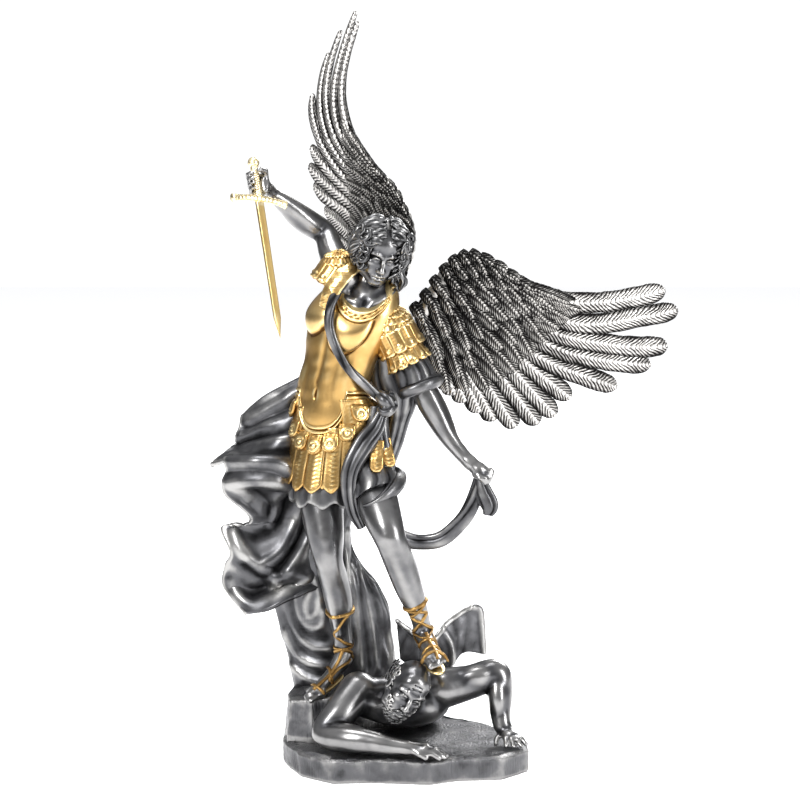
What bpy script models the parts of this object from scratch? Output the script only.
"""A winged archangel stands on a fallen demon: a cast figurine in four castings.

Blender part file in metres, Z up, front towards -Y. The origin is at the centre of the
plinth's underside. The figure is laid out in figure units above the plinth's top, where
the tip of the raised wing is FIGURE_UNITS high, so pose and carving are shares of its height.
"""

import math

import bpy
from mathutils import Matrix, Vector

# Driving dimensions, in metres
FIGURE_HEIGHT = 0.358
PLINTH_WIDTH = 0.123
PLINTH_DEPTH = 0.102
PLINTH_THICKNESS = 0.012
PLINTH_CHAMFER = 0.002
FIT_GAP = 0.0003
WING_SEAT_DEPTH = 0.0175
GRIP_RADIUS = 0.0021
GRIP_LENGTH = 0.0165
FIST_CLEARANCE = 0.0013
BLADE_LENGTH = 0.072
BLADE_WIDTH = 0.0042
BLADE_THICKNESS = 0.0022
BLADE_TIP_SHARE = 0.14
GUARD_LENGTH = 0.031
GUARD_HEIGHT = 0.0036
GUARD_THICKNESS = 0.0034
GUARD_ARCH = 0.0022
POMMEL_RADIUS = 0.0030
FEATHER_THICKNESS = 0.0030
CLOTH_THICKNESS = 0.0042

# Figure units: the height of the raised wing's tip above the plinth
FIGURE_UNITS = 358.0
UNIT = FIGURE_HEIGHT / FIGURE_UNITS

# How finely the cast forms are drawn: the grain is in figure units
GROUP_GRAIN = 1.4
WING_GRAIN = 1.1
GROUP_TRIANGLES = 5950
WING_TRIANGLES = 1640

# Half the side of a block that cuts right through the figure
CUT_REACH = 0.6 * FIGURE_HEIGHT


def at(point):
    """A point in figure units above the plinth's top, in metres."""
    return Vector((point[0] * UNIT, point[1] * UNIT, PLINTH_THICKNESS + point[2] * UNIT))


def new_object(name, vertices, faces):
    mesh = bpy.data.meshes.new(name)
    mesh.from_pydata([tuple(v) for v in vertices], [], faces)
    mesh.update()
    obj = bpy.data.objects.new(name, mesh)
    bpy.context.scene.collection.objects.link(obj)
    return obj


class Clay:
    """Overlapping closed shells, which one voxel remesh later melts into one casting."""

    def __init__(self):
        self.vertices = []
        self.faces = []

    def loft(self, rings):
        """A closed tube through rings of equal point count, with a flat fan at each end."""
        start = len(self.vertices)
        count = len(rings[0])
        for ring in rings:
            self.vertices.extend(ring)
        for row in range(len(rings) - 1):
            for side in range(count):
                turn = (side + 1) % count
                a = start + row * count
                b = a + count
                self.faces.append((a + side, a + turn, b + turn, b + side))
        self.faces.append(tuple(start + side for side in reversed(range(count))))
        last = start + (len(rings) - 1) * count
        self.faces.append(tuple(last + side for side in range(count)))

    def lump(self, centre, radii, turn=(0.0, 0.0, 0.0), steps=10):
        """An ellipsoid in figure units, turned by angles in degrees about X, Y and Z."""
        spin = Matrix.Rotation(math.radians(turn[2]), 3, "Z")
        spin = spin @ Matrix.Rotation(math.radians(turn[1]), 3, "Y")
        spin = spin @ Matrix.Rotation(math.radians(turn[0]), 3, "X")
        rings = []
        for row in range(steps + 1):
            polar = math.pi * (0.02 + 0.96 * row / steps)
            ring = []
            for side in range(2 * steps):
                around = math.pi * side / steps
                offset = Vector((
                    radii[0] * math.sin(polar) * math.cos(around),
                    radii[1] * math.sin(polar) * math.sin(around),
                    -radii[2] * math.cos(polar),
                ))
                ring.append(at(Vector(centre) + spin @ offset))
            rings.append(ring)
        self.loft(rings)

    def limb(self, stations, sides=12):
        """A chain of round cones through stations of x, y, z and radius, in figure units."""
        for x, y, z, radius in stations:
            self.lump((x, y, z), (radius, radius, radius), steps=6)
        for low, high in zip(stations, stations[1:]):
            along = Vector(high[:3]) - Vector(low[:3])
            if along.length < 0.01:
                continue
            across, beside = frame_of(along)
            rings = []
            for x, y, z, radius in (low, high):
                rings.append([
                    at(Vector((x, y, z)) + radius * (
                        math.cos(math.tau * side / sides) * across
                        + math.sin(math.tau * side / sides) * beside
                    ))
                    for side in range(sides)
                ])
            self.loft(rings)

    def sheet(self, rows, thickness):
        """Cloth or feather: a grid of points in metres, thickened to both sides."""
        start = len(self.vertices)
        high, wide = len(rows), len(rows[0])
        normals = grid_normals(rows)
        for sign in (0.5, -0.5):
            for row in range(high):
                for col in range(wide):
                    offset = normals[row][col] * (sign * thickness)
                    self.vertices.append(rows[row][col] + offset)
        back = start + high * wide
        for row in range(high - 1):
            for col in range(wide - 1):
                a = row * wide + col
                quad = (a, a + 1, a + wide + 1, a + wide)
                self.faces.append(tuple(start + i for i in quad))
                self.faces.append(tuple(back + i for i in reversed(quad)))
        border = [col for col in range(wide)]
        border += [row * wide + wide - 1 for row in range(1, high)]
        border += [(high - 1) * wide + col for col in reversed(range(wide - 1))]
        border += [row * wide for row in reversed(range(1, high - 1))]
        for index, here in enumerate(border):
            there = border[(index + 1) % len(border)]
            self.faces.append((start + there, start + here, back + here, back + there))

    def cast(self, name, grain, triangles):
        """Melts the shells into one skin and draws it with about this many triangles."""
        obj = new_object(name, self.vertices, self.faces)
        remesh = obj.modifiers.new("melt", "REMESH")
        remesh.mode = "VOXEL"
        remesh.voxel_size = grain * UNIT
        soften = obj.modifiers.new("soften", "SMOOTH")
        soften.factor = 0.5
        soften.iterations = 3
        settle(obj)
        sparse = obj.modifiers.new("sparse", "DECIMATE")
        faces = sum(len(polygon.vertices) - 2 for polygon in obj.data.polygons)
        sparse.ratio = min(1.0, triangles / faces)
        settle(obj)
        return obj


def settle(obj):
    """Turns the object's modifiers into its mesh."""
    graph = bpy.context.evaluated_depsgraph_get()
    made = bpy.data.meshes.new_from_object(obj.evaluated_get(graph))
    obj.modifiers.clear()
    obj.data = made


def frame_of(along):
    """Two unit directions square to a line and to each other."""
    ahead = along.normalized()
    other = Vector((0.0, 0.0, 1.0)) if abs(ahead.z) < 0.9 else Vector((1.0, 0.0, 0.0))
    across = other.cross(ahead).normalized()
    return across, ahead.cross(across)


def grid_normals(rows):
    """A unit normal at each point of a grid."""
    high, wide = len(rows), len(rows[0])
    normals = []
    for row in range(high):
        line = []
        for col in range(wide):
            down = rows[min(row + 1, high - 1)][col] - rows[max(row - 1, 0)][col]
            right = rows[row][min(col + 1, wide - 1)] - rows[row][max(col - 1, 0)]
            line.append(down.cross(right).normalized())
        normals.append(line)
    return normals


def through(points, share):
    """A smooth curve through the points: the place at a share of its point count."""
    place = share * (len(points) - 1)
    index = min(int(place), len(points) - 2)
    t = place - index
    before = points[max(index - 1, 0)]
    after = points[min(index + 2, len(points) - 1)]
    here, there = points[index], points[index + 1]
    return (
        0.5 * ((2.0 * here) + (there - before) * t
               + (2.0 * before - 5.0 * here + 4.0 * there - after) * t * t
               + (3.0 * here - before - 3.0 * there + after) * t * t * t)
    )


def draped(rows, down, across):
    """A finer grid through rows of control points in figure units, in metres."""
    control = [[at(point) for point in row] for row in rows]
    fine = []
    for i in range(down + 1):
        column = [through([row[k] for row in control], i / down) for k in range(len(rows[0]))]
        fine.append([through(column, j / across) for j in range(across + 1)])
    return fine


def box_cutter(name, low, high):
    """A box between two corners in metres, used to cut and then removed."""
    corners = [
        (x, y, z) for z in (low[2], high[2]) for y in (low[1], high[1]) for x in (low[0], high[0])
    ]
    faces = [(0, 2, 3, 1), (4, 5, 7, 6), (0, 1, 5, 4), (2, 6, 7, 3), (0, 4, 6, 2), (1, 3, 7, 5)]
    obj = new_object(name, corners, faces)
    obj.hide_render = True
    obj.display_type = "WIRE"
    return obj


def combine(obj, tool, operation):
    """Joins or cuts the object with the tool, which is then removed."""
    modifier = obj.modifiers.new(tool.name, "BOOLEAN")
    modifier.operation = operation
    modifier.solver = "EXACT"
    modifier.object = tool
    settle(obj)
    bpy.data.objects.remove(tool, do_unlink=True)


# Metallic paints: red, green, blue, metallic and roughness
PEWTER = (0.09, 0.09, 0.10, 0.9, 0.38)
SILVER = (0.32, 0.31, 0.30, 0.9, 0.40)
PALE_GOLD = (0.80, 0.60, 0.28, 1.0, 0.30)


def paint(obj, name, finish):
    material = bpy.data.materials.new(name)
    material.use_nodes = True
    shader = material.node_tree.nodes["Principled BSDF"]
    shader.inputs["Base Color"].default_value = (*finish[:3], 1.0)
    shader.inputs["Metallic"].default_value = finish[3]
    shader.inputs["Roughness"].default_value = finish[4]
    obj.data.materials.clear()
    obj.data.materials.append(material)


# The rock plinth

PLINTH_OUTLINE = (
    (-0.99, -0.16), (-0.94, -0.36), (-0.83, -0.70), (-0.58, -0.96), (-0.24, -0.94),
    (0.20, -1.00), (0.41, -0.87), (0.76, -0.83), (0.985, -0.53), (1.00, -0.235),
    (0.90, 0.03), (0.70, 0.42), (0.33, 0.81), (-0.13, 1.00), (-0.68, 0.83), (-1.00, 0.31),
)


def plinth():
    """An irregular many-sided slab with a narrow chamfer round its top edge."""
    count = len(PLINTH_OUTLINE)
    half_width, half_depth = PLINTH_WIDTH / 2, PLINTH_DEPTH / 2
    shelf = PLINTH_THICKNESS - PLINTH_CHAMFER
    levels = ((0.0, 0.0), (shelf, 0.0), (PLINTH_THICKNESS, PLINTH_CHAMFER))
    vertices = []
    for height, inset in levels:
        for x, y in PLINTH_OUTLINE:
            vertices.append((x * (half_width - inset), y * (half_depth - inset), height))
    faces = [tuple(reversed(range(count))), tuple(range(2 * count, 3 * count))]
    for level in range(2):
        for side in range(count):
            turn = (side + 1) % count
            a, b = level * count, (level + 1) * count
            faces.append((a + side, a + turn, b + turn, b + side))
    return new_object("plinth", vertices, faces)


def rock_step(clay):
    """The rock that the archangel's rear foot stands on, one ledge behind another."""
    ledges = (
        ((-43, 6, 8), (16, 22, 17), (0, -8, 10)),
        ((-43, -8, 8), (15, 12, 15), (0, -6, -12)),
        ((-40, 26, 8), (20, 16, 14), (0, 0, 20)),
    )
    for centre, radii, turn in ledges:
        clay.lump(centre, radii, turn)
    outline = [(-58, -12), (-46, -17), (-31, -13), (-26, 8), (-34, 30), (-56, 28), (-60, 6)]
    rings = []
    for height, grow in ((-6, 1.03), (14, 1.0), (20, 0.9)):
        ring = []
        for x, y in outline:
            rise = 0.12 * (x + 60) if height > 0 else 0.0
            ring.append(at((-44 + (x + 44) * grow, 6 + (y - 6) * grow, height + rise)))
        rings.append(ring)
    clay.loft(rings)


# The archangel

CHEST_YAW = math.radians(-26.0)


def torso_ring(x, y, z, half_width, half_depth, sides=24):
    """An oval slice of the turned torso."""
    ring = []
    for side in range(sides):
        angle = math.tau * side / sides
        across, ahead = half_width * math.cos(angle), half_depth * math.sin(angle)
        ring.append(at((
            x + across * math.cos(CHEST_YAW) - ahead * math.sin(CHEST_YAW),
            y + across * math.sin(CHEST_YAW) + ahead * math.cos(CHEST_YAW),
            z,
        )))
    return ring


def torso(clay):
    slices = (
        (-34, 4, 160, 21, 15), (-34.5, 3, 168, 19, 14), (-34.5, 2, 175, 18, 13.5),
        (-31.5, 2, 187, 18.5, 14), (-28, 2, 199, 21.5, 15.5), (-25, 3, 211, 23, 16),
        (-22, 4, 221, 20, 13), (-19, 4, 229, 12, 9),
    )
    clay.loft([torso_ring(*slice_) for slice_ in slices])
    clay.lump((-35, -7, 206), (10.5, 7, 8), (0, 0, -26))
    clay.lump((-17, -10, 205), (10.5, 7, 8), (0, 0, -26))
    clay.lump((-37, -9, 166), (9, 7, 12), (0, 0, -26))


def skirt(clay):
    """The cloth under the strips, then each strip as a bar that hangs from the belt."""
    slices = (
        (-36, 6, 106, 22, 17), (-36, 5, 118, 23.5, 18), (-35, 4, 135, 23.5, 18),
        (-34.5, 4, 152, 22, 17), (-34, 4, 164, 20, 15),
    )
    clay.loft([torso_ring(*slice_) for slice_ in slices])
    strips = 15
    for index in range(strips):
        angle = math.tau * index / strips
        across, ahead = math.cos(angle), math.sin(angle)
        side = Vector((
            across * math.cos(CHEST_YAW) - ahead * math.sin(CHEST_YAW),
            across * math.sin(CHEST_YAW) + ahead * math.cos(CHEST_YAW), 0.0,
        ))
        start = Vector((-34.5, 4, 160)) + side * 17.5
        end = Vector((-35.5, 4.5, 121)) + side * 22.0
        clay.limb([(*start, 3.4), (*end, 3.9)], sides=8)


def legs(clay):
    clay.limb([
        (-40, 6, 136, 13), (-41, -3, 117, 11), (-39, -9, 98, 8.6), (-38, -11, 90, 7.2),
        (-35, -5, 77, 7.6), (-33, -1, 66, 7.3), (-32, 3, 53, 5.5), (-31, 6, 43, 4.6),
    ])
    clay.limb([(-30, 8, 36, 4.8), (-38, -3, 28, 4.6), (-48, -16, 21.5, 4.2), (-50, -19, 21, 3.6)])
    clay.limb([
        (-20, 3, 135, 13.5), (-14, -15, 121, 11), (-8.5, -27, 107, 8.6), (-6, -28, 102, 8.0),
        (-1.5, -22, 88, 8.6), (3.5, -20, 75, 7.0), (7, -18, 65, 5.4), (9, -15, 56, 4.7),
    ])
    clay.limb([(8.5, -13, 51, 4.6), (12, -26, 48, 4.4), (15.5, -38, 45, 4.0), (16, -42, 44, 3.6)])


def head(clay):
    clay.limb([(-17, 4, 220, 8.0), (-14, -2, 230, 6.6)])
    clay.lump((-12.5, -7, 241), (10.5, 12.5, 14.5), (8, 12, 0))
    clay.lump((-11.2, -2, 245.5), (14.8, 13.5, 17.0), (0, 12, 0))
    clay.lump((-22, 0, 236), (5.5, 7, 10), (0, 18, 0))
    clay.lump((-1.5, 0, 236), (6, 7, 12), (0, -8, 0))


def arms(clay):
    clay.limb([
        (-31, -1, 229, 9.6), (-35, 8, 238, 8.0), (-39.5, 19, 249, 7.2), (-47, 17, 254, 7.4),
        (-57, 12, 262, 6.2), (-66, 7, 269, 4.8), (-70.5, 2, 273, 5.2),
    ])
    clay.lump((-72.4, -1.5, 275.0), (6.6, 6.8, 7.4), (27, 8, 0))
    clay.limb([
        (-2, -2, 209, 10), (3.5, -2, 193, 8.4), (8, -3, 176.5, 7.2), (12, -4, 166, 6.8),
        (19.5, -6, 152.5, 6.2), (27.5, -9, 142.5, 5.0), (33, -11, 137, 4.3),
    ])
    clay.lump((39, -12, 133.5), (7.6, 5.6, 6.6), (0, 40, 0))
    clay.lump((-4, -2, 207), (13.5, 12, 12.5), (0, 20, 0))
    clay.limb([(-12, -10, 196, 6), (-2, -10, 192, 7), (8, -5, 192, 7), (11, 3, 197, 6)])
    clay.limb([(-11, -10, 186, 5.5), (-2, -10, 183, 6), (9, -5, 184, 6), (12, 3, 188, 5)])
    clay.lump((-33.5, 0, 228), (12, 10.5, 9.5), (0, -30, 0))


def scarf(clay):
    """The sash over the right shoulder, its knot at the left hip, the tail and the swag."""
    clay.limb([
        (-23, 3, 233, 3.2), (-32, -6, 226, 3.2), (-36, -15, 216, 3.0), (-37, -17, 206, 3.0),
        (-32, -17, 194, 3.0), (-26, -17, 184, 3.0), (-18, -14, 176, 3.2), (-11, -8, 170, 3.4),
    ])
    clay.lump((-9, -8, 167), (5.5, 5, 6.5), (0, 20, 0))
    clay.limb([
        (-11, -8, 164, 4.0), (-14, -13, 156, 4.6), (-20, -17, 148, 5.2), (-26, -19, 137, 4.6),
        (-27, -19, 126, 4.0), (-25, -18, 116, 3.4), (-21, -16, 107, 3.0),
    ])
    clay.limb([
        (-10, -12, 103, 4.6), (-3, -8, 101, 4.8), (7, -6, 98.5, 4.2), (18, -8, 100.5, 4.4),
        (27.5, -10, 109.5, 4.2), (33, -12, 119, 3.8), (36.5, -12, 130, 3.6),
    ])
    clay.limb([(-22, -13, 126, 5), (-11, -11, 131, 5), (-2, -5, 134, 4.4)])
    clay.limb([(36, -13, 131, 3.4), (39, -15, 124, 4.0), (41.5, -16, 117, 4.2), (40, -15, 114, 3.6)])


def sleeve(clay):
    """The cloth that hangs from under the left pauldron, past the knot, to the hip."""
    clay.lump((-4, 1, 178), (13, 10, 12), (0, 10, 0))
    clay.limb([(2, -8, 181, 5), (12, -4, 179, 4.6), (16, 1, 172, 4.2), (9, 4, 167, 4.6)])
    clay.limb([(0, 4, 170, 6.5), (-4, 5, 154, 6.0), (-8, 4, 138, 5.4), (-12, 3, 128, 5)])


# The cloak

CLOAK_ROWS = (
    ((-30, 17, 181), (-46, 15, 179), (-58, 18, 174), (-70, 22, 167), (-82, 26, 157)),
    ((-30, 19, 168), (-46, 16, 166), (-60, 14, 159), (-73, 18, 152), (-86, 20, 144)),
    ((-30, 20, 158), (-46, 15, 156), (-60, 7, 150), (-76, 12, 143), (-97, 20, 133)),
    ((-30, 20, 147), (-46, 10, 145), (-60, 0, 142), (-74, -3, 139), (-89, 6, 137)),
    ((-30, 20, 138), (-46, 8, 134), (-60, -2, 130), (-74, 0, 126), (-90, 8, 122)),
    ((-30, 20, 128), (-44, 13, 124), (-56, 8, 120), (-68, 8, 117), (-83, 12, 114)),
    ((-30, 20, 116), (-44, 15, 112), (-56, 14, 109), (-66, 13, 107), (-77, 13, 106)),
    ((-30, 20, 105), (-44, 15, 102), (-58, 13, 101), (-74, 13, 101), (-91, 15, 102)),
    ((-30, 20, 94), (-44, 14, 90), (-58, 8, 89), (-74, 8, 90), (-92, 9, 90)),
    ((-30, 20, 85), (-44, 12, 81), (-56, 6, 79), (-72, 6, 79), (-92, 14, 80)),
    ((-30, 20, 79), (-44, 12, 76), (-58, 11, 72), (-74, 13, 70), (-92, 17, 70)),
    ((-30, 20, 74), (-44, 10, 72), (-56, 5, 68), (-68, 3, 63), (-86, 6, 58)),
)
COLUMN_SLICES = (
    (-35, 14, 128, 14, 9), (-36, 16, 112, 12.5, 8), (-38, 16, 101, 11.5, 8), (-39, 17, 93, 13, 8),
    (-40, 18, 84, 18, 9), (-40, 19, 77, 24, 9), (-39, 20, 70, 28, 10), (-37, 22, 60, 31, 11),
    (-35, 24, 46, 30, 12), (-32, 25, 32, 29, 12), (-30.5, 25, 16, 27, 12),
    (-29, 24, -6, 24, 11),
)


def cloak(clay):
    clay.sheet(draped(CLOAK_ROWS, 44, 16), CLOTH_THICKNESS)
    rings = []
    for x, y, z, half_width, half_depth in COLUMN_SLICES:
        ring = []
        for side in range(36):
            angle = math.tau * side / 36
            fold = 1.0 + 0.10 * math.cos(9 * angle + 0.03 * z)
            ring.append(at((
                x + half_width * math.cos(angle), y + half_depth * fold * math.sin(angle), z,
            )))
        rings.append(ring)
    clay.loft(list(reversed(rings)))
    clay.lump((-30, 14, 150), (18, 9, 30), (0, 0, -10))


# The fallen demon

BAT_WING_ROWS = (
    ((-4, 19, 54), (6, 13, 48), (13, 13, 44), (20, 18, 52), (33, 24, 60)),
    ((-3, 18, 44), (8, 13, 36), (18, 15, 34), (27, 20, 46), (39, 27, 57)),
    ((-2, 18, 34), (10, 13, 26), (20, 15, 28), (30, 21, 37), (40.5, 26, 35)),
)


def demon(clay):
    clay.lump((0, -10, 17), (24, 17, 14), (8, 0, 0))
    clay.lump((0, 12, 15), (17, 18, 13), (0, 0, 0))
    clay.lump((0, 31, 13), (17, 12, 13), (0, 0, 0))
    clay.limb([(0, -20, 24, 9), (1, -28, 28, 9)])
    clay.lump((1, -35, 31), (12.2, 11.5, 14.2), (-12, 28, 0))
    clay.lump((-7, -41, 20), (7.5, 6.5, 6.5), (0, 30, 0))
    clay.limb([
        (-24, -17, 26, 9.5), (-32, -25, 17, 8.2), (-40, -32, 7.5, 6.6), (-28, -40, 7.5, 6.6),
        (-16, -44, 8, 5.4), (-7, -46, 7, 4.6), (2, -47, 6, 4.4),
    ])
    clay.limb([(2, -46, 5, 4.2), (10, -47, 4.5, 3.6), (17, -47, 2.5, 2.6)])
    clay.limb([
        (19, -12, 26.5, 9.8), (32, -9, 28.8, 8.6), (46, -8, 33.2, 7.8), (48, -10, 24, 6.2),
        (48.5, -13, 15, 5.0), (49.5, -16, 8, 4.6),
    ])
    clay.limb([(50, -18, 4.5, 4.4), (53, -22, 3, 3.8), (57, -25, 1.5, 2.8)])
    clay.limb([(8, 34, 14, 10), (14, 22, 10, 8.5), (12, 33, 7, 6.5), (5, 41, 4, 4.5)])
    clay.limb([(-8, 34, 12, 10), (-18, 36, 9, 8), (-6, 42, 4, 5)])
    clay.sheet(draped(BAT_WING_ROWS, 12, 12), CLOTH_THICKNESS)


# The wings

LAYOUT_UNIT = 0.49
FEATHERS = (
    ((94, 20), (129, 10), (189, 7), (229, 12), (257, 18)),
    ((94, 10), (149, -10), (189, -15), (239, -8), (271, -3)),
    ((94, 0), (149, -25), (205, -37), (236, -40), (261, -40)),
    ((89, -10), (149, -40), (179, -49), (211, -55), (244, -59)),
    ((87, -20), (119, -42), (149, -58), (179, -70), (209, -81)),
    ((86, -25), (106, -45), (124, -61), (142, -76), (161, -91)),
    ((79, -35), (96, -54), (113, -73), (129, -91), (146, -109)),
    ((67, -40), (84, -60), (100, -80), (114, -99), (128, -117)),
    ((54, -45), (68, -64), (81, -83), (93, -102), (105, -120)),
    ((44, -48), (55, -64), (65, -80), (74, -96), (83, -112)),
    ((37, -48), (46, -62), (55, -76), (62, -90), (68, -103)),
    ((31, -46), (37, -57), (43, -69), (48, -81), (53, -92)),
    ((24, -42), (29, -52), (34, -63), (38, -74), (42, -84)),
)
WING_EDGE = ((0, 0), (16, 22), (32, 44), (48, 56), (66, 56), (88, 44), (110, 28), (129, 19))
COVERT_EDGE = ((24, -60), (50, -68), (74, -66), (92, -52), (108, -34), (122, -18), (136, -6), (150, 6))
FEATHER_WIDTH = 21.0
FEATHER_TIP_SHARE = 0.12
FEATHER_STEP = ((-1.0, 1.1), (-0.1, 1.0), (1.0, -0.8))
COVERT_ROWS = ((0.30, 6), (0.58, 7), (0.86, 8))
COVERT_RADII = (4.8, 4.3, 6.6)
SEAT_OFFSET = 5.0
WING_REACH = 260.0
BOW_START = 0.38
WING_MIDDLE = -1.0
NECK_HEIGHT = 232.0


class Wing:
    """A wing laid out flat as drawn, then set in space by its root and two directions.

    The tip sweeps back, and a raised wing also bows sideways past its wrist and closes."""

    def __init__(self, root, outward, forward, sweep, bow, close):
        self.root = Vector(root)
        self.outward = Vector(outward)
        self.forward = Vector(forward)
        self.sweep = sweep
        self.bow = bow
        self.close = close

    def place(self, a, b, lift=0.0):
        """The layout point in metres, raised off the wing's face by a lift in figure units."""
        share = a / WING_REACH
        flat = self.root + LAYOUT_UNIT * (a * self.outward + b * self.forward)
        flat.x -= LAYOUT_UNIT * b * self.forward.x * self.close * share
        flat.y += self.sweep * share * share - lift
        past = max(0.0, (share - BOW_START) / (1.0 - BOW_START))
        flat.x -= self.bow * math.sin(math.pi * past)
        return at(flat)


LEFT_WING = Wing((4, 26, 209), (1.015, 0.12, 0.0), (0.0, -0.15, 1.02), 10.0, 0.0, 0.0)
RIGHT_WING = Wing((-5.5, 35, 215), (-0.160, 0.02, 1.075), (0.49, -0.38, 0.222), 0.0, 12.5, 0.32)


def flat_curve(points, share):
    place = through([Vector((a, b, 0.0)) for a, b in points], share)
    return place.x, place.y


def feather(clay, wing, points):
    rows = []
    steps = 12
    for step in range(steps + 1):
        share = step / steps
        a, b = flat_curve(points, share)
        c, d = flat_curve(points, min(share + 0.02, 1.0))
        if share > 0.97:
            a0, b0 = flat_curve(points, share - 0.02)
            c, d = 2 * a - a0, 2 * b - b0
        along = Vector((c - a, d - b, 0.0)).normalized()
        left = max(0.0, (share - 1.0 + FEATHER_TIP_SHARE) / FEATHER_TIP_SHARE)
        half = 0.5 * FEATHER_WIDTH * math.sqrt(max(0.06, 1.0 - left * left))
        rows.append([
            wing.place(a - along.y * half * k, b + along.x * half * k, lift)
            for k, lift in FEATHER_STEP
        ])
    clay.sheet(rows, FEATHER_THICKNESS)


def wing_solid(name, wing, outside, covert_turn):
    """One wing, trimmed flat at its seat and clear of the other wing between the shoulders."""
    clay = Clay()
    for points in FEATHERS:
        feather(clay, wing, points)
    rows = []
    for step in range(17):
        top = flat_curve(WING_EDGE, step / 16)
        low = flat_curve(COVERT_EDGE, step / 16)
        rows.append([
            wing.place(top[0] + (low[0] - top[0]) * k / 6, top[1] + (low[1] - top[1]) * k / 6)
            for k in range(7)
        ])
    clay.sheet(rows, 1.9 * FEATHER_THICKNESS)
    for depth, count in COVERT_ROWS:
        for index in range(count):
            top = flat_curve(WING_EDGE, (index + 0.7) / count)
            low = flat_curve(COVERT_EDGE, (index + 0.7) / count)
            spot = wing.place(
                top[0] + (low[0] - top[0]) * depth, top[1] + (low[1] - top[1]) * depth,
            )
            centre = (spot.x / UNIT, spot.y / UNIT, (spot.z - PLINTH_THICKNESS) / UNIT)
            clay.lump(centre, COVERT_RADII, covert_turn, steps=8)
    lead = []
    for step in range(13):
        share = step / 12
        radius = 4.6 - 2.4 * share
        a, b = flat_curve(WING_EDGE, share)
        inset = radius / LAYOUT_UNIT
        spot = wing.place(a + 0.6 * inset * max(0.0, 1.0 - 2.0 * share), b - 0.8 * inset)
        lead.append((
            spot.x / UNIT, spot.y / UNIT, (spot.z - PLINTH_THICKNESS) / UNIT, radius,
        ))
    clay.limb(lead)
    root = wing.root
    seat_x = root.x + outside * SEAT_OFFSET
    clay.limb([
        (seat_x, WING_SEAT_DEPTH / UNIT - 4, root.z - 8, 7.5),
        (seat_x, root.y + 1, root.z - 6, 6.0), lead[2],
    ])
    obj = clay.cast(name, WING_GRAIN, WING_TRIANGLES)
    seat = WING_SEAT_DEPTH + FIT_GAP
    front = box_cutter(
        "seat_face", (-CUT_REACH, seat - CUT_REACH, 0.0), (CUT_REACH, seat, 2 * CUT_REACH)
    )
    combine(obj, front, "DIFFERENCE")
    middle = at((WING_MIDDLE, 0, 0)).x + outside * FIT_GAP / 2
    low, high = sorted((middle, middle - outside * CUT_REACH))
    top = at((0, 0, NECK_HEIGHT)).z
    inner = box_cutter("middle", (low, 0.0, 0.0), (high, CUT_REACH, top))
    combine(obj, inner, "DIFFERENCE")
    return obj


# The sword

FIST_CENTRE = (-72.0, -3.0, 274.6)
FIST_RADIUS = 0.0085
SWORD_AIM = Vector((0.157, -0.45, -0.878)).normalized()
GUARD_AIM = Vector((0.80, 0.38, -0.40)).normalized()


def sword_axes():
    """The sword's own axes: along the guard, through the blade's face, and up the grip."""
    up = -SWORD_AIM
    face = up.cross(GUARD_AIM).normalized()
    return face.cross(up), face, up


def sword_point(across, through_, up):
    side, face, axis = sword_axes()
    return at(FIST_CENTRE) + side * across + face * through_ + axis * up


def round_bar(name, stations, sides=16):
    """A turned bar along the sword's axis, from heights and radii in metres."""
    vertices = []
    for height, radius in stations:
        for index in range(sides):
            angle = math.tau * index / sides
            vertices.append(sword_point(radius * math.cos(angle), radius * math.sin(angle), height))
    faces = [tuple(reversed(range(sides)))]
    last = (len(stations) - 1) * sides
    faces.append(tuple(last + index for index in range(sides)))
    for row in range(len(stations) - 1):
        for index in range(sides):
            turn = (index + 1) % sides
            a, b = row * sides, (row + 1) * sides
            faces.append((a + index, a + turn, b + turn, b + index))
    return new_object(name, vertices, faces)


def sword():
    top = GRIP_LENGTH / 2
    stations = [(-top - 0.001, GRIP_RADIUS), (top, GRIP_RADIUS)]
    for step in range(7):
        polar = math.pi * (0.15 + 0.82 * step / 6)
        stations.append((
            top + POMMEL_RADIUS * (0.85 - math.cos(polar)), POMMEL_RADIUS * math.sin(polar),
        ))
    obj = round_bar("sword", stations)
    guard = guard_plate(-top)
    combine(obj, guard, "UNION")
    blade = blade_bar(-top + 0.0005)
    combine(obj, blade, "UNION")
    return obj


def guard_plate(height):
    """A slim bar across the grip that arches down towards its ends."""
    steps = 8
    vertices = []
    for step in range(steps + 1):
        share = 2.0 * step / steps - 1.0
        across = share * GUARD_LENGTH / 2
        middle = height - GUARD_ARCH * share * share + across * GUARD_AIM.dot(-SWORD_AIM)
        swell = 1.0 - 0.3 * abs(share)
        for face, rise in ((-1, -1), (1, -1), (1, 1), (-1, 1)):
            vertices.append(sword_point(
                across, face * GUARD_THICKNESS / 2 * swell, middle + rise * GUARD_HEIGHT / 2,
            ))
    faces = [(0, 1, 2, 3), tuple(4 * steps + i for i in (3, 2, 1, 0))]
    for step in range(steps):
        for corner in range(4):
            turn = (corner + 1) % 4
            a, b = 4 * step, 4 * step + 4
            faces.append((a + corner, b + corner, b + turn, a + turn))
    return new_object("guard", vertices, faces)


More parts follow.
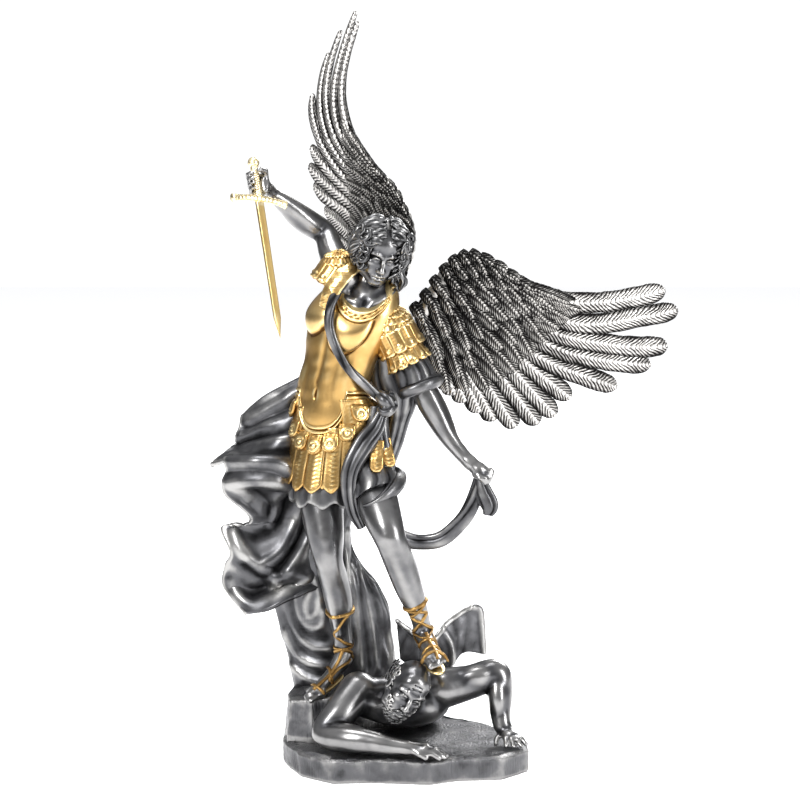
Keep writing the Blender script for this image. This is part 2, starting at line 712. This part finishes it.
def blade_bar(height):
    """A flat bar with a small chamfer on its edges, drawn in to a point."""
    profile = []
    chamfer = 0.25
    for x, y in ((-1, -chamfer), (-1 + chamfer, -1), (1 - chamfer, -1), (1, -chamfer)):
        profile.append((x * BLADE_WIDTH / 2, y * BLADE_THICKNESS / 2))
    profile += [(-x, -y) for x, y in profile]
    taper = ((0.0, 1.15), (1.0 - BLADE_TIP_SHARE, 0.92), (1.0, 0.06))
    vertices = []
    for share, scale in taper:
        for x, y in profile:
            vertices.append(sword_point(x * scale, y * scale, height - share * BLADE_LENGTH))
    count = len(profile)
    faces = [tuple(range(count)), tuple(reversed(range(2 * count, 3 * count)))]
    for row in range(2):
        for side in range(count):
            turn = (side + 1) % count
            a, b = row * count, (row + 1) * count
            faces.append((a + side, b + side, b + turn, a + turn))
    return new_object("blade", vertices, faces)


def group():
    clay = Clay()
    rock_step(clay)
    torso(clay)
    skirt(clay)
    legs(clay)
    head(clay)
    arms(clay)
    scarf(clay)
    sleeve(clay)
    cloak(clay)
    demon(clay)
    for wing in (LEFT_WING, RIGHT_WING):
        x, z = wing.root.x, wing.root.z
        clay.limb([(x, 8, z - 8, 9), (x, WING_SEAT_DEPTH / UNIT - 2, z - 8, 9)])
    obj = clay.cast("archangel_group", GROUP_GRAIN, GROUP_TRIANGLES)
    floor = box_cutter(
        "floor", (-CUT_REACH, -CUT_REACH, -CUT_REACH),
        (CUT_REACH, CUT_REACH, PLINTH_THICKNESS - PLINTH_CHAMFER),
    )
    combine(obj, floor, "DIFFERENCE")
    combine(obj, plinth(), "UNION")
    seat_low = at((-17, 0, 184))
    seat_high = at((17, 0, NECK_HEIGHT))
    seat = box_cutter(
        "wing_seat", (seat_low.x, WING_SEAT_DEPTH, seat_low.z),
        (seat_high.x, CUT_REACH, seat_high.z),
    )
    combine(obj, seat, "DIFFERENCE")
    bore_radius = GRIP_RADIUS + FIT_GAP
    face = GRIP_LENGTH / 2 - GUARD_HEIGHT / 2 - FIST_CLEARANCE
    bore = round_bar("bore", [
        (-2 * GRIP_LENGTH, FIST_RADIUS), (-face, FIST_RADIUS), (-face, bore_radius),
        (face, bore_radius), (face, FIST_RADIUS), (2 * GRIP_LENGTH, FIST_RADIUS),
    ])
    bore.hide_render = True
    bore.display_type = "WIRE"
    combine(obj, bore, "DIFFERENCE")
    return obj


def main():
    for obj in list(bpy.data.objects):
        bpy.data.objects.remove(obj, do_unlink=True)
    paint(group(), "dark_pewter", PEWTER)
    paint(wing_solid("right_wing", RIGHT_WING, -1, (0, 65, -38)), "silver_right", SILVER)
    paint(wing_solid("left_wing", LEFT_WING, 1, (0, -35, 7)), "silver_left", SILVER)
    paint(sword(), "pale_gold", PALE_GOLD)


main()
